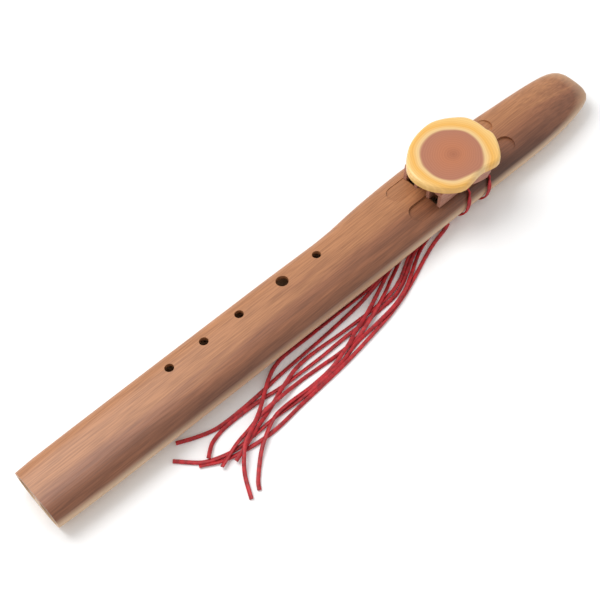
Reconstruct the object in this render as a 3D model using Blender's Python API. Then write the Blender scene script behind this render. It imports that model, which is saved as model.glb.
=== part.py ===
"""Double flute: a melody bore and a drone bore in one carved body, a sliding block and a leather lace.

Sizes are in millimetres. X is measured from the foot, +Y is the melody side and +Z is up. The flute lies
on its flat underside, and `place` turns these measures into metres about the middle of its length.
"""

import math

import bmesh
import bpy
import numpy as np
from mathutils import Vector

MM = 0.001
GAP = 0.3

# Body, as stations along its length
LENGTH = 600.0
SEAM_Z = 15.0
MELODY_EDGE = [
    (0, 26.6), (16, 27.5), (50, 27.8), (235, 27.8), (276, 27.2), (305, 27.0), (318, 27.7), (332, 29.1),
    (350, 30.6), (368, 31.6), (388, 32.4), (404, 32.6), (430, 31.9), (465, 30.5), (497, 28.9), (517, 27.4),
    (545, 25.9), (566, 24.6), (582, 22.8), (592, 19.6), (597.5, 14.6), (600, 8.0),
]
DRONE_EDGE = [
    (0, 26.5), (14, 27.3), (34, 28.2), (71, 28.8), (147, 29.6), (228, 30.2), (307, 31.1), (380, 31.3),
    (438, 31.6), (499, 32.1), (520, 31.9), (542, 30.9), (558, 29.4), (572, 27.4), (584, 25.0), (592, 22.2),
    (597.5, 17.0), (600, 9.0),
]
CROWN = [(0, 30), (260, 30), (520, 30), (540, 29.1), (560, 27.2), (580, 24.2), (592, 21.8), (597.5, 20), (600, 17.8)]
BELLY = [(0, -0.6), (300, -0.6), (550, -0.6), (572, 0.4), (586, 2.2), (594, 4.4), (598, 7.0), (600, 10.0)]
STATIONS = [
    0, 3, 16, 50, 140, 240, 300, 318, 332, 342, 352, 364, 380, 404, 430, 465, 478, 490, 505, 520, 532, 545,
    557, 568, 578, 586, 592, 596, 598.5, 600,
]
CROWN_POWER = 3.0
BELLY_POWER = 2.0
SECTION_STEPS = 24
LACE_SEAT_DEPTH = 2.65
LACE_SEAT = (335, 352, 468, 484)

# Bores, breath chambers and openings
BORE_RADIUS = 10.2
BORE_Y = 13.2
BORE_Z = 15.2
BORE_END = 408.0
CHAMBER_RADIUS = 9.2
CHAMBER_Y = 12.4
CHAMBER = (420.0, 548.0)
MOUTH_RADIUS = 2.6
MOUTH_Y = 6.0
FINGER_HOLE_Y = 13.5
FINGER_HOLES = [(136.0, 7.7), (170.4, 7.7), (206.6, 7.7), (252.3, 10.8), (290.0, 7.7)]
SLOT_Y = 13.3
SLOT_WIDTH = 16.8
SLOT = (373.0, 498.0)
SLOT_FLOOR = 27.6
SOUND_HOLE = (399.5, 406.0)
FLUE_WIDTH = 9.6
FLUE_DEPTH = 0.9
FLUE_END = 430.0
BREATH_HOLE = (424.0, 430.0)

# Block
FOOT_WIDTH = 16.1
FOOT = (398.5, 464.0)
WING_CHANNEL = 9.5
WING_BACK = 407.0
CHANNEL_TOP = 41.0
BASE_BOTTOM = 31.0
BASE_TOP = 46.7
BASE_OUTLINE = [
    (404.5, -20.8), (418, -22.0), (432, -24.6), (444, -27.6), (452.5, -27.8), (458.5, -24.0), (463.5, -14.5),
    (466, 0), (463.5, 12), (456, 20), (444, 24.3), (429, 25), (414, 23.6), (404.5, 20.8), (402.5, 12), (402.5, -12),
]
PASSAGES = (430.5, 455.2)
PASSAGE_LENGTH = 9.4
PASSAGE = (31.0, 34.3)
PASSAGE_CORNER = 0.8
SLAB_OUTLINE = [
    (468.9, 17.8), (463, 24), (452.9, 30.8), (442.3, 34.9), (431.6, 35.1), (421.1, 33.3), (411.4, 29.7),
    (403.6, 24.7), (396.8, 18.9), (391.2, 12.2), (388.9, 5.1), (388.7, -1.6), (390.3, -9), (393.8, -16),
    (399.9, -23.6), (408.1, -30.1), (414, -32.5), (421, -32.3), (430.3, -30.8), (438.4, -30.4), (445.8, -32.3),
    (453.5, -33.1), (459.3, -30.4), (466.2, -22.6), (471.1, -14.7), (473.2, -8.3), (472, -3), (472.1, 2.1),
    (471.7, 8.9),
]
SLAB_RINGS = [(47.0, 2.2), (47.6, 0.8), (49.0, 0.0), (53.0, 0.2), (55.0, 1.1), (55.9, 2.6)]
SLAB_POINTS = 60

# Lace, as it is wound round body and block: the angle about the middle, from under the belly over the
# drone side, and where along the flute the lace is at that angle
LACE_WIDTH = 3.4
LACE_THICK = 1.5
LACE_GAP = 0.45
LACE_SIDE_ROOM = 1.02
LACE_LIFT = LACE_GAP + LACE_THICK / 2
LACE_TURNS = [
    (73, 418), (80, 419.5), (103, 424.5), (116, 429), (180, 430.5), (244, 432), (285, 434.5), (360, 437),
    (411, 440), (435, 443.5), (463, 449.5), (476, 453.8), (540, 455.2), (604, 456.6), (645, 459), (720, 461),
]
LACE_RETURN = [(455, -12.5, 1.1), (448, -17.5, 0.95), (436, -19.0, 0.95), (421.4, -18.6, 1.0)]
LACE_STEP = 1.8

# Knot, and the free ends that lie on the table, each as the route of its middle line
KNOT = (409.0, 421.0)
KNOT_PROFILE = [
    (-25.6, 0.9), (-25.3, 3.1), (-23.3, 4.3), (-19.0, 3.9), (-14.0, 2.9), (-10.9, 2.1), (-10.5, 0.9),
    (-11.5, 0.25), (-18.0, 0.2), (-24.6, 0.25),
]
TAIL_DIAMETER = 2.0
TAIL_STEP = 6.0
TAILS = [
    [(408.6, -26.0), (400, -28.8), (387, -31.5), (372, -36), (345, -46), (326, -52.3), (305, -57.2),
     (283, -60.4), (262, -63.2), (242, -65.2), (219, -66.6), (199, -67.8), (175, -69.8), (159, -69.6),
     (140, -66.8), (123, -62.1), (107, -53.4)],
    [(408.6, -23.6), (396, -23.8), (385, -25), (371, -29.2), (360, -34.5), (346, -42.2), (335, -47.9),
     (323, -52), (310, -54.6), (291, -55.9), (275, -56.6), (262, -58.6), (250, -61.6), (235, -63.4),
     (216, -64), (198, -63.4), (175, -62), (152, -62.4), (136, -61.6), (126, -59.4), (116, -55.6),
     (108, -50.4), (95, -36.8)],
    [(408.6, -21.2), (392, -21.6), (378, -23.6), (363, -28.7), (352, -34.4), (342, -39.8), (333, -43.9),
     (322, -46.9), (308, -47.6), (287, -48), (263, -47.3), (240, -47.5), (218, -46.8), (197, -45.8),
     (178, -43.4), (158, -42.2), (140, -42.6), (128, -45.3), (122, -49), (116, -53.9)],
    [(408.6, -18.8), (390, -19.2), (372, -22.6), (357, -28.5), (347, -33.7), (338, -38), (326, -42),
     (312, -43.8), (296, -43.5), (280, -43), (263, -42.2), (243, -40.8), (228, -40.5), (216, -42.1),
     (205, -45.2), (193, -48.9), (177, -54.4), (162, -59.3), (150, -63.3), (137, -67.6), (130, -69.7)],
    [(408.6, -16.4), (384, -16.9), (364, -20.2), (351, -24.8), (340, -29.8), (330, -34), (320, -39),
     (308, -43.8), (294, -48.8), (280, -52.8), (266, -54.8), (250, -54.8), (230, -53.2), (210, -52),
     (190, -52.8), (170, -53.6), (151, -57), (137, -60.2), (119, -66.3)],
    [(408.6, -14.0), (380, -14.6), (357, -18.6), (343, -23.5), (330, -28.7), (316, -34.6), (298, -42.2),
     (282, -47.6), (273, -50.4), (263, -54.4), (250, -58.2), (234, -60.8), (216, -61.4), (198, -60.9),
     (184, -61), (175, -62.5), (162, -68.6), (148, -77.6), (133, -91.4), (128, -98.4)],
    [(408.6, -11.6), (376, -12.4), (354, -16.4), (338, -22.4), (326, -26.8), (312, -30), (294, -32.8),
     (261, -35), (232, -36), (205, -37), (181, -38.8), (160, -39.5), (143, -39.2), (133, -37.8),
     (120, -33.4), (106, -27)],
    [(408.6, -22.4), (380, -22.2), (350, -22.6), (330, -24.4), (309, -27.3), (277, -27.2), (245, -27),
     (218, -26.6), (206, -28.8), (198, -32.4), (190, -37.2), (180, -44.2), (170, -51.2), (155, -59),
     (145, -64), (138, -70), (128, -82), (119, -99.7)],
]
HUMP_REACH = 12.0


def place(x, y, z):
    """A point in metres from millimetres counted from the foot."""
    return Vector(((x - LENGTH / 2) * MM, y * MM, z * MM))


def through(points, closed=False, steps=24):
    """Closely spaced points on a smooth curve that runs through the given ones."""
    points = np.array(points, float)
    if closed:
        line = np.vstack([points[-1], points, points[0], points[1]])
    else:
        line = np.vstack([2 * points[0] - points[1], points, 2 * points[-1] - points[-2]])
    t = np.linspace(0, 1, steps, endpoint=False)[:, None]
    runs = []
    for a, b, c, d in zip(line, line[1:], line[2:], line[3:]):
        runs.append(
            b + 0.5 * t * (c - a + t * (2 * a - 5 * b + 4 * c - d + t * (3 * (b - c) + d - a)))
        )
    if not closed:
        runs.append(points[-1:])
    return np.vstack(runs)


def evenly(line, count, closed=False):
    """The same line with its points at equal distances."""
    if closed:
        line = np.vstack([line, line[:1]])
    along = np.concatenate([[0], np.cumsum(np.linalg.norm(np.diff(line, axis=0), axis=1))])
    at = np.linspace(0, along[-1], count, endpoint=not closed)
    return np.stack([np.interp(at, along, column) for column in line.T], axis=1)


def read(table, x):
    """The value of a table of stations at x, on a smooth curve."""
    curve = through(table)
    return float(np.interp(x, curve[:, 0], curve[:, 1]))


def smooth_step(x, start, end):
    t = min(max((x - start) / (end - start), 0.0), 1.0)
    return t * t * (3 - 2 * t)


def lace_seat(x):
    """How far the belly is drawn in where the lace and the fringe run under it."""
    front, front_end, back, back_end = LACE_SEAT
    return LACE_SEAT_DEPTH * (smooth_step(x, front, front_end) - smooth_step(x, back, back_end))


def crown_point(x, turn):
    """A point on the upper half, from the drone edge at 0 to the melody edge at pi."""
    side = DRONE_EDGE if math.cos(turn) > 0 else MELODY_EDGE
    reach = abs(math.cos(turn)) ** (2 / CROWN_POWER)
    rise = abs(math.sin(turn)) ** (2 / CROWN_POWER)
    return -math.copysign(reach * read(side, x), math.cos(turn)), SEAM_Z + (read(CROWN, x) - SEAM_Z) * rise


def belly_point(x, turn):
    """A point on the lower half, from the drone edge at 0 to the melody edge at pi."""
    side = DRONE_EDGE if math.cos(turn) > 0 else MELODY_EDGE
    reach = abs(math.cos(turn)) ** (2 / BELLY_POWER)
    depth = (SEAM_Z - read(BELLY, x) - lace_seat(x)) * abs(math.sin(turn)) ** (2 / BELLY_POWER)
    return -math.copysign(reach * read(side, x), math.cos(turn)), max(SEAM_Z - depth, 0.0)


def add_object(name, mesh):
    thing = bpy.data.objects.new(name, mesh)
    bpy.context.scene.collection.objects.link(thing)
    return thing


def solid(name, build, origin=(LENGTH / 2, 0, 0), smooth_angle=math.radians(32)):
    """An object whose mesh `build` fills with points given in millimetres from the foot."""
    work = bmesh.new()
    build(work)
    bmesh.ops.recalc_face_normals(work, faces=work.faces)
    centre = place(*origin)
    bmesh.ops.translate(work, vec=-centre, verts=work.verts)
    mesh = bpy.data.meshes.new(name)
    work.to_mesh(mesh)
    work.free()
    mesh.shade_smooth()
    mesh.set_sharp_from_angle(angle=smooth_angle)
    thing = add_object(name, mesh)
    thing.location = centre
    return thing


def skin(work, rings):
    """Joins closed rings of equal count into a solid with a face at each end."""
    rows = [[work.verts.new(place(*point)) for point in ring] for ring in rings]
    for one, two in zip(rows, rows[1:]):
        for i in range(len(one)):
            j = (i + 1) % len(one)
            work.faces.new((one[i], one[j], two[j], two[i]))
    work.faces.new(rows[0][::-1])
    work.faces.new(rows[-1])


def cutter(name, build):
    tool = solid(name, build)
    tool.hide_render = True
    tool.display_type = "WIRE"
    return tool


def cut(thing, tools, operation="DIFFERENCE"):
    for tool in tools:
        change = thing.modifiers.new(tool.name, "BOOLEAN")
        change.operation = operation
        change.object = tool


def turned(start, end, profile, sides=28):
    """Rings round the line from start to end: profile holds (share of the line, radius)."""
    start = np.array(start, float)
    end = np.array(end, float)
    along = (end - start) / np.linalg.norm(end - start)
    aside = np.cross(along, (0, 0, 1) if abs(along[2]) < 0.9 else (0, 1, 0))
    aside /= np.linalg.norm(aside)
    upward = np.cross(aside, along)
    turns = np.arange(sides) * 2 * math.pi / sides
    return [
        [
            start + share * (end - start) + radius * (math.cos(turn) * aside + math.sin(turn) * upward)
            for turn in turns
        ]
        for share, radius in profile
    ]


def rod(start, end, radius, sides=28):
    return lambda work: skin(work, turned(start, end, [(0, radius), (1, radius)], sides))


def box(low, high):
    (x0, y0, z0), (x1, y1, z1) = low, high
    return lambda work: skin(
        work, [[(x, y0, z0), (x, y1, z0), (x, y1, z1), (x, y0, z1)] for x in (x0, x1)]
    )


def upright(outline, heights, insets=None):
    """A solid that stands on a plan outline, drawn in by its inset at each height."""
    outline = np.array(outline, float)
    along = np.roll(outline, -1, axis=0) - np.roll(outline, 1, axis=0)
    outward = np.stack([along[:, 1], -along[:, 0]], axis=1)
    outward /= np.linalg.norm(outward, axis=1)[:, None]
    shifted = outline + 0.1 * outward
    if area(shifted) < area(outline):
        outward = -outward
    insets = insets or [0] * len(heights)
    return lambda work: skin(
        work,
        [[(*point, z) for point in outline - inset * outward] for z, inset in zip(heights, insets)],
    )


def area(outline):
    x, y = outline.T
    return abs(np.sum(x * np.roll(y, -1) - y * np.roll(x, -1))) / 2


def stadium(start, end, middle, width, steps=9):
    """The plan outline of a slot with round ends."""
    radius = width / 2
    turns = np.linspace(-math.pi / 2, math.pi / 2, steps)
    back = [(end - radius + radius * math.cos(t), middle + radius * math.sin(t)) for t in turns]
    front = [(start + radius - radius * math.cos(t), middle - radius * math.sin(t)) for t in turns]
    return back + front


def body_half(name, edge_point, seam):
    """One carved half: rings of its section at each station, closed along the seam."""
    turns = [math.pi * i / SECTION_STEPS for i in range(SECTION_STEPS + 1)]

    def build(work):
        rings = []
        for x in STATIONS:
            ring = [(x, *edge_point(x, turn)) for turn in turns]
            lid = [(x, y, seam + (z - seam) * (0 < i < SECTION_STEPS)) for i, (x, y, z) in enumerate(ring)]
            rings.append(lid)
        skin(work, rings)

    return solid(name, build)


def air_cutters(side, name):
    """What the maker routs into both halves for one bore: bore, breath chamber and mouth channel."""
    ends = [(0, 3.4), (0.012, 6.2), (0.035, 8.2), (0.075, CHAMBER_RADIUS)]
    chamber = ends + [(1 - share, radius) for share, radius in reversed(ends)]
    y = side * CHAMBER_Y
    return [
        cutter(f"{name}_bore", rod((-5, side * BORE_Y, BORE_Z), (BORE_END, side * BORE_Y, BORE_Z), BORE_RADIUS)),
        cutter(
            f"{name}_chamber",
            lambda work: skin(work, turned((CHAMBER[0], y, SEAM_Z), (CHAMBER[1], y, SEAM_Z), chamber)),
        ),
        cutter(
            f"{name}_mouth_channel",
            rod((CHAMBER[1] - 8, y, SEAM_Z), (LENGTH + 6, side * MOUTH_Y, SEAM_Z), MOUTH_RADIUS, 16),
        ),
    ]


def top_cutters(side, name):
    """What is cut into the upper half from above on one side: slot, sound hole, flue and breath hole."""
    middle = side * SLOT_Y
    low = middle - FLUE_WIDTH / 2
    high = middle + FLUE_WIDTH / 2
    floor = SLOT_FLOOR + 0.5
    return [
        cutter(f"{name}_slot", upright(stadium(*SLOT, middle, SLOT_WIDTH), (SLOT_FLOOR, 34))),
        cutter(f"{name}_sound_hole", box((SOUND_HOLE[0], low, BORE_Z + 4), (SOUND_HOLE[1], high, floor))),
        cutter(
            f"{name}_flue",
            box((SOUND_HOLE[1] - 1, low, SLOT_FLOOR - FLUE_DEPTH), (FLUE_END, high, floor)),
        ),
        cutter(f"{name}_breath_hole", box((BREATH_HOLE[0], low, SEAM_Z + 4), (BREATH_HOLE[1], high, floor))),
    ]


def make_body():
    top = body_half("body_top", crown_point, SEAM_Z + GAP / 2)
    bottom = body_half("body_bottom", belly_point, SEAM_Z - GAP / 2)
    holes = [
        cutter(f"finger_hole_{number}", rod((x, FINGER_HOLE_Y, SEAM_Z + 4), (x, FINGER_HOLE_Y, 34), size / 2, 24))
        for number, (x, size) in enumerate(FINGER_HOLES, 1)
    ]
    for side, name in ((1, "melody"), (-1, "drone")):
        air = air_cutters(side, name)
        cut(top, air + top_cutters(side, name))
        cut(bottom, air)
    cut(top, holes)
    return [top, bottom]


def make_block_base():
    """The block: a rounded body on two feet, with a wing on each side of both sound holes."""
    outline = evenly(through(BASE_OUTLINE, closed=True), 44, closed=True)
    heights = (BASE_BOTTOM, BASE_BOTTOM + 1, BASE_TOP - 1, BASE_TOP)
    base = solid("block_base", upright(outline, heights, (0.8, 0, 0, 0.8)), origin=(430, 0, BASE_BOTTOM))
    feet = []
    channels = []
    for side, name in ((1, "melody"), (-1, "drone")):
        middle = side * SLOT_Y
        half = FOOT_WIDTH / 2
        feet.append(
            cutter(
                f"{name}_foot",
                box((FOOT[0], middle - half, SLOT_FLOOR + GAP), (FOOT[1], middle + half, BASE_BOTTOM + 2)),
            )
        )
        feet.append(
            cutter(
                f"{name}_wings",
                box((FOOT[0], middle - half, BASE_BOTTOM + 1.5), (WING_BACK + 4, middle + half, BASE_TOP - 0.6)),
            )
        )
        gap = WING_CHANNEL / 2
        channels.append(
            cutter(
                f"{name}_channel",
                box((FOOT[0] - 12, middle - gap, SLOT_FLOOR - 1), (WING_BACK, middle + gap, CHANNEL_TOP)),
            )
        )
    passages = [
        cutter(
            f"lace_passage_{number}",
            box((x - PASSAGE_LENGTH / 2, -40, PASSAGE[0]), (x + PASSAGE_LENGTH / 2, 40, PASSAGE[1])),
        )
        for number, x in enumerate(PASSAGES, 1)
    ]
    cut(base, feet, "UNION")
    cut(base, channels + passages)
    return base


def make_block_slab():
    outline = evenly(through(SLAB_OUTLINE, closed=True), SLAB_POINTS, closed=True)
    heights = [z for z, _ in SLAB_RINGS]
    insets = [inset for _, inset in SLAB_RINGS]
    return solid("block_slab", upright(outline, heights, insets), origin=(430, 0, SLAB_RINGS[0][0]))


def hull(points):
    """The convex outline of plane points, in order round it."""
    points = sorted(map(tuple, points))
    halves = []
    for run in (points, points[::-1]):
        half = []
        for p in run:
            while len(half) > 1 and (
                (half[-1][0] - half[-2][0]) * (p[1] - half[-2][1])
                - (half[-1][1] - half[-2][1]) * (p[0] - half[-2][0])
                <= 0
            ):
                half.pop()
            half.append(p)
        halves += half[:-1]
    return np.array(halves)


def tight_ring(x):
    """The section that a tight lace follows at x: round the body, and over the floor of the passages."""
    turns = [math.pi * i / 40 for i in range(41)]
    section = [crown_point(x, t) for t in turns] + [belly_point(x, t) for t in reversed(turns)]
    section = np.array(section)
    along = np.roll(section, -1, axis=0) - np.roll(section, 1, axis=0)
    outward = np.stack([along[:, 1], -along[:, 0]], axis=1)
    outward /= np.linalg.norm(outward, axis=1)[:, None]
    if np.sum(outward * (section - (0, SEAM_Z))) < 0:
        outward = -outward
    edge = SLOT_Y + FOOT_WIDTH / 2 + PASSAGE_CORNER
    height = PASSAGE[0] + LACE_LIFT + PASSAGE_CORNER
    rests = [(-edge, height), (edge, height)]
    return hull(np.vstack([section + LACE_LIFT * outward, rests]) * (LACE_SIDE_ROOM, 1))


def wound_point(angle):
    """The lace's middle, and the way it faces, at an angle from under the belly over the drone side."""
    turns = np.array(LACE_TURNS, float)
    x = float(np.interp(angle, turns[:, 0], turns[:, 1]))
    ring = tight_ring(x)
    bearing = np.degrees(np.arctan2(-ring[:, 0], SEAM_Z - ring[:, 1])) % 360
    order = np.argsort(bearing)
    bearing = np.concatenate([bearing[order] - 360, bearing[order], bearing[order] + 360])
    ring = np.vstack([ring[order]] * 3)
    y = np.interp(angle % 360, bearing, ring[:, 0])
    z = np.interp(angle % 360, bearing, ring[:, 1])
    return np.array([x, y, z])


def lace_line():
    """The whole wound lace, from the knot, twice round, and back to the knot."""
    first = LACE_TURNS[0][0]
    last = LACE_TURNS[-1][0]
    wound = np.array([wound_point(angle) for angle in np.linspace(first, last, 240)])
    line = np.vstack([wound, through([tuple(wound[-1]), *LACE_RETURN])[6:]])
    length = np.sum(np.linalg.norm(np.diff(line, axis=0), axis=1))
    line = evenly(line, round(length / LACE_STEP) + 1)
    return line, length


def lace_rings(line):
    """Flat sections along the line, each with its broad side to the body."""
    along = np.gradient(line, axis=0)
    along /= np.linalg.norm(along, axis=1)[:, None]
    turned_away = line - np.stack([line[:, 0], 0 * line[:, 1], 0 * line[:, 2] + SEAM_Z], axis=1)
    second = np.gradient(along, axis=0)
    facing = np.where(np.linalg.norm(second, axis=1)[:, None] > 0.02, -second, turned_away)
    on_floor = line[:, 2] < 2.4
    facing[on_floor] = (0, 0, -1)
    for _ in range(4):
        facing /= np.linalg.norm(facing, axis=1)[:, None]
        facing[1:-1] = facing[:-2] + 2 * facing[1:-1] + facing[2:]
    facing -= np.sum(facing * along, axis=1)[:, None] * along
    facing /= np.linalg.norm(facing, axis=1)[:, None]
    across = np.cross(along, facing)
    half_width = LACE_WIDTH / 2
    half_thick = LACE_THICK / 2
    corner = 0.4
    section = [
        (half_width, half_thick - corner), (half_width - corner, half_thick),
        (corner - half_width, half_thick), (-half_width, half_thick - corner),
        (-half_width, corner - half_thick), (corner - half_width, -half_thick),
        (half_width - corner, -half_thick), (half_width, corner - half_thick),
    ]
    return [
        [point + a * side + b * out for a, b in section]
        for point, side, out in zip(line, across, facing)
    ]


def make_lace_wrap():
    line, length = lace_line()
    rings = lace_rings(line)
    points = np.array(rings)
    least = min(
        np.min(np.linalg.norm(points[i][:, None] - points[j][None], axis=2))
        for i in range(len(points))
        for j in range(i + 9, len(points))
    )
    print(f"lace_wrap: {length:.0f} mm long, least gap to itself {least:.2f} mm, lowest {points[..., 2].min():.2f}")
    return solid("lace_wrap", lambda work: skin(work, rings))


def make_knot():
    outline = evenly(through(KNOT_PROFILE, closed=True), 30, closed=True)
    middle = outline.mean(axis=0)
    ends = [(KNOT[0], 0.93), (KNOT[0] + 1.5, 1.0), (KNOT[1] - 2.5, 1.0), (KNOT[1], 0.7)]

    def build(work):
        skin(work, [[(x, *(middle + share * (point - middle))) for point in outline] for x, share in ends])

    return solid("fringe_knot", build)


def tail_lines():
    """The routes of the free ends, each raised in a long low hump where it passes over an earlier one."""
    lines = []
    for route in TAILS:
        plan = through(route)
        length = np.sum(np.linalg.norm(np.diff(plan, axis=0), axis=1))
        plan = evenly(plan, round(length) + 1)
        height = np.full(len(plan), TAIL_DIAMETER / 2 + 0.1)
        apart = TAIL_DIAMETER + GAP
        for below in lines:
            away = np.linalg.norm(plan[:, None] - below[None, :, :2], axis=2)
            over = below[None, :, 2] + np.sqrt(np.maximum(apart**2 - away**2, 0))
            height = np.maximum(height, np.where(away < apart, over, 0).max(axis=1))
        reach = round(HUMP_REACH / 2)
        for _ in range(2):
            ends = np.pad(height, reach, mode="edge")
            tops = np.array([ends[i : i + 2 * reach + 1].max() for i in range(len(height))])
            ends = np.pad(tops, reach, mode="edge")
            height = np.array([ends[i : i + 2 * reach + 1].mean() for i in range(len(height))])
        lines.append(np.column_stack([plan, height]))
    return lines


def under_body(line):
    """The least room between a free end and the belly above it."""
    room = 99.0
    for x, y, z in line:
        half = read(DRONE_EDGE, x)
        if abs(y) < half:
            _, roof = belly_point(x, math.acos(abs(y) / half))
            room = min(room, roof - z - TAIL_DIAMETER / 2)
    return room


def make_tails():
    tails = []
    for number, line in enumerate(tail_lines(), 1):
        length = np.sum(np.linalg.norm(np.diff(line, axis=0), axis=1))
        points = evenly(line, round(length / TAIL_STEP) + 1)
        curve = bpy.data.curves.new(f"tail_{number}", "CURVE")
        curve.dimensions = "3D"
        curve.bevel_depth = TAIL_DIAMETER / 2 * MM
        curve.bevel_resolution = 2
        curve.use_fill_caps = True
        spline = curve.splines.new("POLY")
        spline.points.add(len(points) - 1)
        for spot, point in zip(spline.points, points):
            spot.co = (*place(*point), 1)
        tails.append(add_object(f"tail_{number}", curve))
        print(f"tail_{number}: {length:.0f} mm, top {line[:, 2].max():.1f}, room {under_body(line):.2f}")
    return tails


def finish(things, name, colour, roughness):
    """Gives each piece a material of its own."""
    for number, thing in enumerate(things, 1):
        material = bpy.data.materials.new(f"{name}_{number}")
        material.use_nodes = True
        shader = material.node_tree.nodes["Principled BSDF"]
        shader.inputs["Base Color"].default_value = (*colour, 1)
        shader.inputs["Roughness"].default_value = roughness
        shader.inputs["Metallic"].default_value = 0.0
        thing.data.materials.append(material)


def main():
    for thing in list(bpy.data.objects):
        bpy.data.objects.remove(thing)
    finish(make_body(), "oiled_walnut", (0.30, 0.12, 0.05), 0.45)
    block = bpy.data.objects.new("block", None)
    bpy.context.scene.collection.objects.link(block)
    block.location = place(430, 0, SLOT_FLOOR)
    base = make_block_base()
    slab = make_block_slab()
    for thing in (base, slab):
        thing.location -= block.location
        thing.parent = block
    finish([base], "cedar", (0.45, 0.20, 0.12), 0.55)
    finish([slab], "cedar_slice", (0.70, 0.42, 0.14), 0.4)
    finish([make_lace_wrap(), make_knot(), *make_tails()], "red_leather", (0.42, 0.012, 0.016), 0.6)


main()
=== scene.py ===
"""Looks of the double flute: oiled wood, a slice of cedar on the block, a red leather lace and its fringe.

Metres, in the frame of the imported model. Routes are kept in millimetres from the foot, as the model has them.
"""

import math

import bmesh
import bpy
import numpy as np
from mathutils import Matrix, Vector


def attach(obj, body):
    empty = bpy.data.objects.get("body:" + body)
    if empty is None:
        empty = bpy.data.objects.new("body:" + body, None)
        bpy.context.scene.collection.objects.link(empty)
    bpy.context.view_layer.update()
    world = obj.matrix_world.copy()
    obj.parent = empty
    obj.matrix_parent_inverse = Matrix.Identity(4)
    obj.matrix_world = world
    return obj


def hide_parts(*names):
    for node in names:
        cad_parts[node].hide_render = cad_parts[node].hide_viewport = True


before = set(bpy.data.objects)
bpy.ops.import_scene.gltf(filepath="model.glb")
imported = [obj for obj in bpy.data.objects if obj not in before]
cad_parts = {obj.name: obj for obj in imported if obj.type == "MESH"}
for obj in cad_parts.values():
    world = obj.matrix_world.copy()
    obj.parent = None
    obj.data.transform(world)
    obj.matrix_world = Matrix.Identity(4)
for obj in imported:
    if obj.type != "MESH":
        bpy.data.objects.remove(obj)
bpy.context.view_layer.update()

MM = 0.001
FLUTE_LENGTH = 600.0

LENS_MM = 66.0
SENSOR_MM = 36.0
CAMERA_PLACE = (-0.3570, -0.3445, 0.7742)
CAMERA_AIM = (-0.0371, 0.0038, 0.0)

FLOOR_REACH = 6.0
FLOOR_DROP = 0.0002
SKY_LEVEL = 0.75
LAMP_POWER = 14
LAMP_SIZE = 0.9
LAMP_PLACE = (-0.3, 0.7, 1.2)

# Painted shade across the body: the walnut runs from shaded at the first Y, on the drone side, to lit at the
# second, on the melody side towards the lamp.
PAINTED_SHADE_SIDE_Y = -0.032
PAINTED_LIGHT_SIDE_Y = 0.03
FIGURE_WEIGHT = 0.9
# A pale tan band low on the body: full below the first height, fading back to the walnut by the second.
LOW_BAND_TOP = 0.0185
LOW_BAND_FADE = 0.021
LOW_BAND_TINT = (0.62, 0.42, 0.26, 1)

SLICE_SHIFT = (-0.130, 0.003, 0)
HEART_WOBBLE = 0.012
ZONE_SCALE = 20.0
RING_RATE = 3200.0

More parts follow.
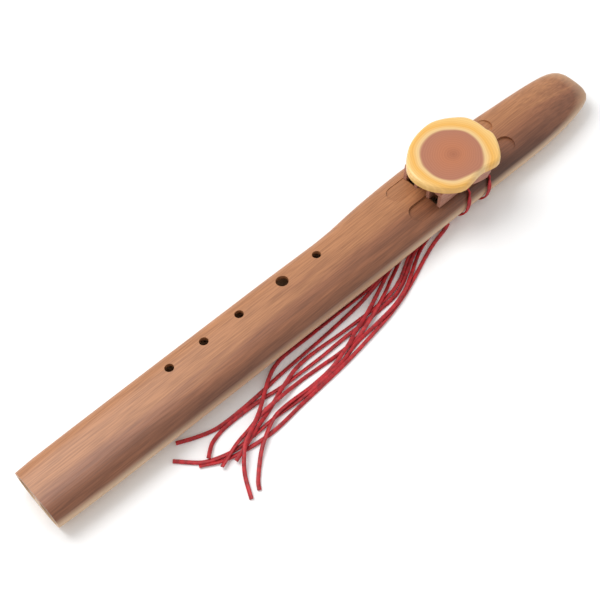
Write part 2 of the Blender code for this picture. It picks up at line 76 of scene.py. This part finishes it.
# The free ends of the fringe. Width, thickness and corners are of the lace that shows, and the tube is the
# model's round stand-in, which settles how high an end lies where it passes over another one.
LACE_WIDTH = 3.2
LACE_THICK = 1.5
LACE_CORNER = 0.35
LACE_STEP = 1.5
LACE_EDGE_ANGLE = 50
ROLL = 0.5
ROLL_RATE = 0.045
ROLL_START = 1.7
TUBE_DIAMETER = 2.0
TUBE_LIFT = 0.1
TUBE_GAP = 0.3
HUMP_REACH = 12.0
TAILS = [
    [(408.6, -26.0), (400, -28.8), (387, -31.5), (372, -36), (345, -46), (326, -52.3), (305, -57.2),
     (283, -60.4), (262, -63.2), (242, -65.2), (219, -66.6), (199, -67.8), (175, -69.8), (159, -69.6),
     (140, -66.8), (123, -62.1), (107, -53.4)],
    [(408.6, -23.6), (396, -23.8), (385, -25), (371, -29.2), (360, -34.5), (346, -42.2), (335, -47.9),
     (323, -52), (310, -54.6), (291, -55.9), (275, -56.6), (262, -58.6), (250, -61.6), (235, -63.4),
     (216, -64), (198, -63.4), (175, -62), (152, -62.4), (136, -61.6), (126, -59.4), (116, -55.6),
     (108, -50.4), (95, -36.8)],
    [(408.6, -21.2), (392, -21.6), (378, -23.6), (363, -28.7), (352, -34.4), (342, -39.8), (333, -43.9),
     (322, -46.9), (308, -47.6), (287, -48), (263, -47.3), (240, -47.5), (218, -46.8), (197, -45.8),
     (178, -43.4), (158, -42.2), (140, -42.6), (128, -45.3), (122, -49), (116, -53.9)],
    [(408.6, -18.8), (390, -19.2), (372, -22.6), (357, -28.5), (347, -33.7), (338, -38), (326, -42),
     (312, -43.8), (296, -43.5), (280, -43), (263, -42.2), (243, -40.8), (228, -40.5), (216, -42.1),
     (205, -45.2), (193, -48.9), (177, -54.4), (162, -59.3), (150, -63.3), (137, -67.6), (130, -69.7)],
    [(408.6, -16.4), (384, -16.9), (364, -20.2), (351, -24.8), (340, -29.8), (330, -34), (320, -39),
     (308, -43.8), (294, -48.8), (280, -52.8), (266, -54.8), (250, -54.8), (230, -53.2), (210, -52),
     (190, -52.8), (170, -53.6), (151, -57), (137, -60.2), (119, -66.3)],
    [(408.6, -14.0), (380, -14.6), (357, -18.6), (343, -23.5), (330, -28.7), (316, -34.6), (298, -42.2),
     (282, -47.6), (273, -50.4), (263, -54.4), (250, -58.2), (234, -60.8), (216, -61.4), (198, -60.9),
     (184, -61), (175, -62.5), (162, -68.6), (148, -77.6), (133, -91.4), (128, -98.4)],
    [(408.6, -11.6), (376, -12.4), (354, -16.4), (338, -22.4), (326, -26.8), (312, -30), (294, -32.8),
     (261, -35), (232, -36), (205, -37), (181, -38.8), (160, -39.5), (143, -39.2), (133, -37.8),
     (120, -33.4), (106, -27)],
    [(408.6, -22.4), (380, -22.2), (350, -22.6), (330, -24.4), (309, -27.3), (277, -27.2), (245, -27),
     (218, -26.6), (206, -28.8), (198, -32.4), (190, -37.2), (180, -44.2), (170, -51.2), (155, -59),
     (145, -64), (138, -70), (128, -82), (119, -99.7)],
]


def place(x, y, z):
    """A point given in millimetres from the foot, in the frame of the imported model."""
    return Vector(((x - FLUTE_LENGTH / 2) * MM, y * MM, z * MM))


def through(points, steps=24):
    """Closely spaced points on a smooth curve that runs through the given ones."""
    points = np.array(points, float)
    line = np.vstack([2 * points[0] - points[1], points, 2 * points[-1] - points[-2]])
    t = np.linspace(0, 1, steps, endpoint=False)[:, None]
    runs = [
        b + 0.5 * t * (c - a + t * (2 * a - 5 * b + 4 * c - d + t * (3 * (b - c) + d - a)))
        for a, b, c, d in zip(line, line[1:], line[2:], line[3:])
    ]
    return np.vstack([*runs, points[-1:]])


def evenly(line, count):
    """The same line with count points at even steps."""
    along = np.concatenate([[0], np.cumsum(np.linalg.norm(np.diff(line, axis=0), axis=1))])
    at = np.linspace(0, along[-1], count)
    return np.stack([np.interp(at, along, column) for column in line.T], axis=1)


def line_length(line):
    return float(np.sum(np.linalg.norm(np.diff(line, axis=0), axis=1)))


def tail_lines():
    """The routes of the free ends, each raised in a long low hump where it passes over an earlier one."""
    lines = []
    for route in TAILS:
        plan = through(route)
        plan = evenly(plan, round(line_length(plan)) + 1)
        height = np.full(len(plan), TUBE_DIAMETER / 2 + TUBE_LIFT)
        apart = TUBE_DIAMETER + TUBE_GAP
        for below in lines:
            away = np.linalg.norm(plan[:, None] - below[None, :, :2], axis=2)
            over = below[None, :, 2] + np.sqrt(np.maximum(apart**2 - away**2, 0))
            height = np.maximum(height, np.where(away < apart, over, 0).max(axis=1))
        reach = round(HUMP_REACH / 2)
        for _ in range(2):
            ends = np.pad(height, reach, mode="edge")
            tops = np.array([ends[i : i + 2 * reach + 1].max() for i in range(len(height))])
            ends = np.pad(tops, reach, mode="edge")
            height = np.array([ends[i : i + 2 * reach + 1].mean() for i in range(len(height))])
        lines.append(np.column_stack([plan, height]))
    return lines


def grain_group():
    """Noise in the object's own coordinates, drawn out by Stretch: wood grain, or the mottle of leather."""
    group = bpy.data.node_groups.new("grain", "ShaderNodeTree")
    for name, kind in (("Stretch", "Vector"), ("Detail", "Float"), ("Distortion", "Float")):
        group.interface.new_socket(name, in_out="INPUT", socket_type=f"NodeSocket{kind}")
    group.interface.new_socket("Grain", in_out="OUTPUT", socket_type="NodeSocketFloat")
    given = group.nodes.new("NodeGroupInput")
    spot = group.nodes.new("ShaderNodeTexCoord")
    mapping = group.nodes.new("ShaderNodeMapping")
    noise = group.nodes.new("ShaderNodeTexNoise")
    noise.inputs["Scale"].default_value = 1.0
    result = group.nodes.new("NodeGroupOutput")
    group.links.new(spot.outputs["Object"], mapping.inputs["Vector"])
    group.links.new(given.outputs["Stretch"], mapping.inputs["Scale"])
    group.links.new(mapping.outputs["Vector"], noise.inputs["Vector"])
    group.links.new(given.outputs["Detail"], noise.inputs["Detail"])
    group.links.new(given.outputs["Distortion"], noise.inputs["Distortion"])
    group.links.new(noise.outputs["Fac"], result.inputs["Grain"])
    return group


def new_material(name, roughness):
    material = bpy.data.materials.new(name)
    material.use_nodes = True
    nodes = material.node_tree.nodes
    links = material.node_tree.links
    shader = nodes["Principled BSDF"]
    shader.inputs["Roughness"].default_value = roughness
    return material, nodes, links, shader


def grain(nodes, stretch, detail, distortion=0.0):
    """The grain group placed in a material with its own values."""
    node = nodes.new("ShaderNodeGroup")
    node.node_tree = bpy.data.node_groups["grain"]
    node.inputs["Stretch"].default_value = stretch
    node.inputs["Detail"].default_value = detail
    node.inputs["Distortion"].default_value = distortion
    return node.outputs["Grain"]


def ramp(nodes, links, value, stops):
    """A colour ramp over a value: stops holds (position, colour)."""
    node = nodes.new("ShaderNodeValToRGB")
    links.new(value, node.inputs["Fac"])
    band = node.color_ramp
    while len(band.elements) < len(stops):
        band.elements.new(0.5)
    for element, (position, colour) in zip(band.elements, stops):
        element.position = position
        element.color = (*colour, 1)
    return node.outputs["Color"]


def feed(links, socket, given):
    """Links an output to the socket, or sets the socket to a plain number or colour."""
    if isinstance(given, (float, tuple)):
        socket.default_value = given
    else:
        links.new(given, socket)


def mix(nodes, links, kind, factor, one, two):
    node = nodes.new("ShaderNodeMix")
    node.data_type = "RGBA"
    node.blend_type = kind
    feed(links, node.inputs[0], factor)
    feed(links, node.inputs[6], one)
    feed(links, node.inputs[7], two)
    return node.outputs[2]


def calculate(nodes, links, operation, *terms):
    node = nodes.new("ShaderNodeMath")
    node.operation = operation
    for socket, term in zip(node.inputs, terms):
        feed(links, socket, term)
    return node.outputs[0]


def bump(nodes, links, shader, height, strength, distance):
    node = nodes.new("ShaderNodeBump")
    node.inputs["Strength"].default_value = strength
    node.inputs["Distance"].default_value = distance
    links.new(height, node.inputs["Height"])
    links.new(node.outputs["Normal"], shader.inputs["Normal"])


def walnut():
    """Oiled walnut: long grain, painted shade making the drone side darker and the melody side, towards the
    lamp, lighter, and a paler tan low on the body.
    """
    material, nodes, links, shader = new_material("oiled_walnut", 0.42)
    figure = grain(nodes, (5, 60, 60), 5, 0.6)
    pores = grain(nodes, (40, 900, 900), 6, 0.2)
    spot = nodes.new("ShaderNodeTexCoord")
    split = nodes.new("ShaderNodeSeparateXYZ")
    links.new(spot.outputs["Object"], split.inputs["Vector"])
    # Painted shade: the figure is shifted darker towards the drone side, away from the lamp, and lighter
    # towards the melody side.
    painted_side_light = nodes.new("ShaderNodeMapRange")
    links.new(split.outputs["Y"], painted_side_light.inputs["Value"])
    painted_side_light.inputs["From Min"].default_value = PAINTED_SHADE_SIDE_Y
    painted_side_light.inputs["From Max"].default_value = PAINTED_LIGHT_SIDE_Y
    shade = calculate(nodes, links, "MULTIPLY_ADD", figure, FIGURE_WEIGHT, painted_side_light.outputs["Result"])
    wood = ramp(nodes, links, shade, [
        (0.28, (0.060, 0.026, 0.014)), (0.5, (0.150, 0.055, 0.028)),
        (0.8, (0.290, 0.110, 0.050)), (1.0, (0.440, 0.190, 0.080)),
    ])
    lines = ramp(nodes, links, pores, [(0.35, (0.62, 0.58, 0.55)), (0.62, (1.0, 1.0, 1.0))])
    grained = mix(nodes, links, "MULTIPLY", 0.8, wood, lines)
    # Paler tan towards the bottom of the body.
    low = ramp(nodes, links, split.outputs["Z"], [
        (0.0, (1, 1, 1)), (LOW_BAND_TOP, (1, 1, 1)), (LOW_BAND_FADE, (0, 0, 0)),
    ])
    links.new(mix(nodes, links, "MIX", low, grained, LOW_BAND_TINT), shader.inputs["Base Color"])
    bump(nodes, links, shader, pores, 0.12, 0.0003)
    return material


def block_wood():
    material, nodes, links, shader = new_material("block_cedar", 0.5)
    fibres = grain(nodes, (60, 500, 500), 5, 0.3)
    colour = ramp(nodes, links, fibres, [(0.3, (0.30, 0.12, 0.08)), (0.7, (0.52, 0.25, 0.17))])
    links.new(colour, shader.inputs["Base Color"])
    return material


def cedar_slice():
    """End grain: reddish heartwood inside a yellow ring, with faint growth rings."""
    material, nodes, links, shader = new_material("cedar_slice", 0.35)
    spot = nodes.new("ShaderNodeTexCoord")
    centred = nodes.new("ShaderNodeMapping")
    centred.inputs["Scale"].default_value = (1, 1, 0)
    centred.inputs["Location"].default_value = SLICE_SHIFT
    links.new(spot.outputs["Object"], centred.inputs["Vector"])
    wobble = grain(nodes, (22, 22, 0), 2)
    distance = nodes.new("ShaderNodeVectorMath")
    distance.operation = "LENGTH"
    links.new(centred.outputs["Vector"], distance.inputs[0])
    radius = calculate(nodes, links, "MULTIPLY_ADD", wobble, HEART_WOBBLE, distance.outputs["Value"])
    zones = ramp(nodes, links, calculate(nodes, links, "MULTIPLY", radius, ZONE_SCALE), [
        (0.0, (0.30, 0.10, 0.05)), (0.30, (0.47, 0.17, 0.08)), (0.64, (0.42, 0.17, 0.10)),
        (0.69, (0.80, 0.56, 0.26)), (0.78, (0.80, 0.43, 0.09)), (0.92, (0.84, 0.55, 0.20)),
    ])
    rings = calculate(nodes, links, "SINE", calculate(nodes, links, "MULTIPLY", radius, RING_RATE))
    shade = ramp(nodes, links, rings, [(0.0, (0.84, 0.80, 0.76)), (1.0, (1, 1, 1))])
    links.new(mix(nodes, links, "MULTIPLY", 0.5, zones, shade), shader.inputs["Base Color"])
    return material


def leather():
    material, nodes, links, shader = new_material("red_leather", 0.55)
    mottle = grain(nodes, (300, 300, 300), 4)
    colour = ramp(nodes, links, mottle, [(0.3, (0.22, 0.006, 0.010)), (0.65, (0.50, 0.014, 0.020))])
    links.new(colour, shader.inputs["Base Color"])
    bump(nodes, links, shader, mottle, 0.3, 0.0002)
    return material


def lace_section():
    """The lace cut across: a flat bar with its corners taken off, as (sideways, upwards)."""
    half_width = LACE_WIDTH / 2
    half_thick = LACE_THICK / 2
    return [
        (half_width, half_thick - LACE_CORNER), (half_width - LACE_CORNER, half_thick),
        (LACE_CORNER - half_width, half_thick), (-half_width, half_thick - LACE_CORNER),
        (-half_width, LACE_CORNER - half_thick), (LACE_CORNER - half_width, -half_thick),
        (half_width - LACE_CORNER, -half_thick), (half_width, LACE_CORNER - half_thick),
    ]


def lace_rows(work, number, points):
    """One ring of vertices at each point, rolled a little about the line as the lace lies."""
    along = np.gradient(points, axis=0)
    along /= np.linalg.norm(along, axis=1)[:, None]
    section = lace_section()
    rows = []
    for i, (point, way) in enumerate(zip(points, along)):
        side = np.cross(way, (0, 0, 1))
        side /= np.linalg.norm(side)
        up = np.cross(side, way)
        roll = ROLL * math.sin(ROLL_RATE * i + ROLL_START * number)
        turned_side = math.cos(roll) * side + math.sin(roll) * up
        turned_up = math.cos(roll) * up - math.sin(roll) * side
        rows.append([work.verts.new(place(*(point + a * turned_side + b * turned_up))) for a, b in section])
    return rows


def lace_end(number, line, finish):
    """One free end of the fringe, a flat lace in place of the model's round tube."""
    length = line_length(line)
    points = evenly(line, round(length / LACE_STEP) + 1)
    work = bmesh.new()
    rows = lace_rows(work, number, points)
    for one, two in zip(rows, rows[1:]):
        for i in range(len(one)):
            j = (i + 1) % len(one)
            work.faces.new((one[i], one[j], two[j], two[i]))
    work.faces.new(rows[0][::-1])
    work.faces.new(rows[-1])
    bmesh.ops.recalc_face_normals(work, faces=work.faces)
    mesh = bpy.data.meshes.new(f"lace_end_{number}")
    work.to_mesh(mesh)
    work.free()
    mesh.shade_smooth()
    mesh.set_sharp_from_angle(angle=math.radians(LACE_EDGE_ANGLE))
    mesh.materials.append(finish)
    lace = bpy.data.objects.new(f"lace_end_{number}", mesh)
    bpy.context.scene.collection.objects.link(lace)
    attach(lace, "body")
    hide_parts(f"tail_{number}")


def dress(node, finish):
    """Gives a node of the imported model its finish."""
    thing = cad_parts[node]
    thing.data.materials.clear()
    thing.data.materials.append(finish)


def aim(thing, target):
    thing.rotation_euler = (Vector(target) - thing.location).to_track_quat("-Z", "Y").to_euler()


def set_camera():
    lens = bpy.data.cameras.new("camera")
    lens.lens = LENS_MM
    lens.sensor_width = SENSOR_MM
    camera = bpy.data.objects.new("camera", lens)
    camera.location = CAMERA_PLACE
    aim(camera, CAMERA_AIM)
    bpy.context.scene.collection.objects.link(camera)
    bpy.context.scene.camera = camera


def stage_and_light():
    """A pale floor, a white sky and one soft lamp behind the melody side."""
    mesh = bpy.data.meshes.new("floor")
    work = bmesh.new()
    bmesh.ops.create_grid(work, x_segments=1, y_segments=1, size=FLOOR_REACH)
    work.to_mesh(mesh)
    work.free()
    floor = bpy.data.objects.new("floor", mesh)
    floor.location.z = -FLOOR_DROP
    bpy.context.scene.collection.objects.link(floor)
    material, _, _, shader = new_material("pale_floor", 0.9)
    shader.inputs["Base Color"].default_value = (0.95, 0.95, 0.95, 1)
    mesh.materials.append(material)
    world = bpy.data.worlds.new("studio")
    bpy.context.scene.world = world
    world.use_nodes = True
    sky = world.node_tree.nodes["Background"]
    sky.inputs["Color"].default_value = (1, 1, 1, 1)
    sky.inputs["Strength"].default_value = SKY_LEVEL
    lamp = bpy.data.lights.new("softbox", "AREA")
    lamp.energy = LAMP_POWER
    lamp.size = LAMP_SIZE
    softbox = bpy.data.objects.new("softbox", lamp)
    softbox.location = LAMP_PLACE
    aim(softbox, (0, 0, 0))
    bpy.context.scene.collection.objects.link(softbox)


set_camera()
stage_and_light()
grain_group()
red = leather()
walnut_finish = walnut()
for node, finish in (
    ("body_top", walnut_finish), ("body_bottom", walnut_finish), ("block_base", block_wood()),
    ("block_slab", cedar_slice()), ("lace_wrap", red), ("fringe_knot", red),
):
    dress(node, finish)
for number, line in enumerate(tail_lines(), 1):
    lace_end(number, line, red)
bpy.context.scene.view_settings.view_transform = "Standard"
